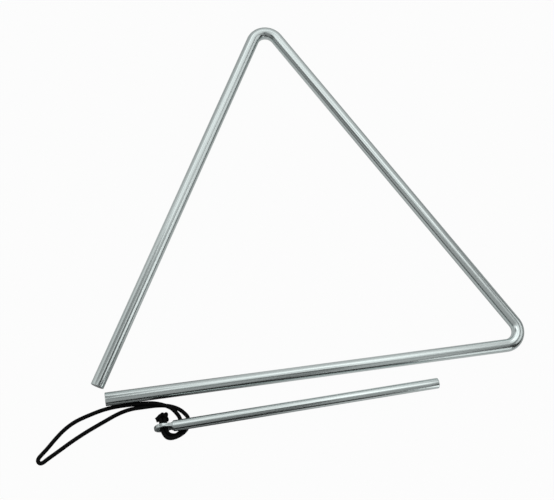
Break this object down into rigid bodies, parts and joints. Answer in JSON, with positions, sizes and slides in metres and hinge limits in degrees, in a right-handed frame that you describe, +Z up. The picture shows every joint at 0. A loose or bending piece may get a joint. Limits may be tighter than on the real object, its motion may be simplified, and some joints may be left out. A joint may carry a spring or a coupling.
{
  "type": "triangle instrument",
  "caption": "Round metal bar bent into a triangle that is open at one corner, with a straight beater bar whose pierced end carries a knotted cord hand loop.",
  "frame": {"origin": "on the surface that the set lies on, under the middle of the box round the triangle and the beater", "axes": "+X along the triangle's base leg away from the open corner, +Y towards the apex, +Z up"},
  "size_m": [0.3007, 0.2601, 0.0115],
  "materials": {
    "triangle_bar": "bright plated steel with fine drawing lines along the bar",
    "beater_bar": "bright plated steel with fine drawing lines along the bar",
    "cord": "matt black round braid"
  },
  "bodies": {
    "triangle": {"triangle_rod": "triangle_bar"},
    "cord": {"hand_loop": "cord", "loop_knot": "cord"},
    "beater": {"beater_rod": "beater_bar"}
  },
  "joints": [
    {"name": "pick_up", "type": "slide", "parent": "triangle", "child": "cord", "axis": [0, -0.7071, 0.7071], "range_m": [0, 0.15]},
    {"name": "beater_swing", "type": "hinge", "parent": "cord", "child": "beater", "pos_m": [-0.09515, -0.12319, 0.00647], "axis": [0.0271, -0.9699, 0.2419], "range_deg": [0, 180]}
  ]
}
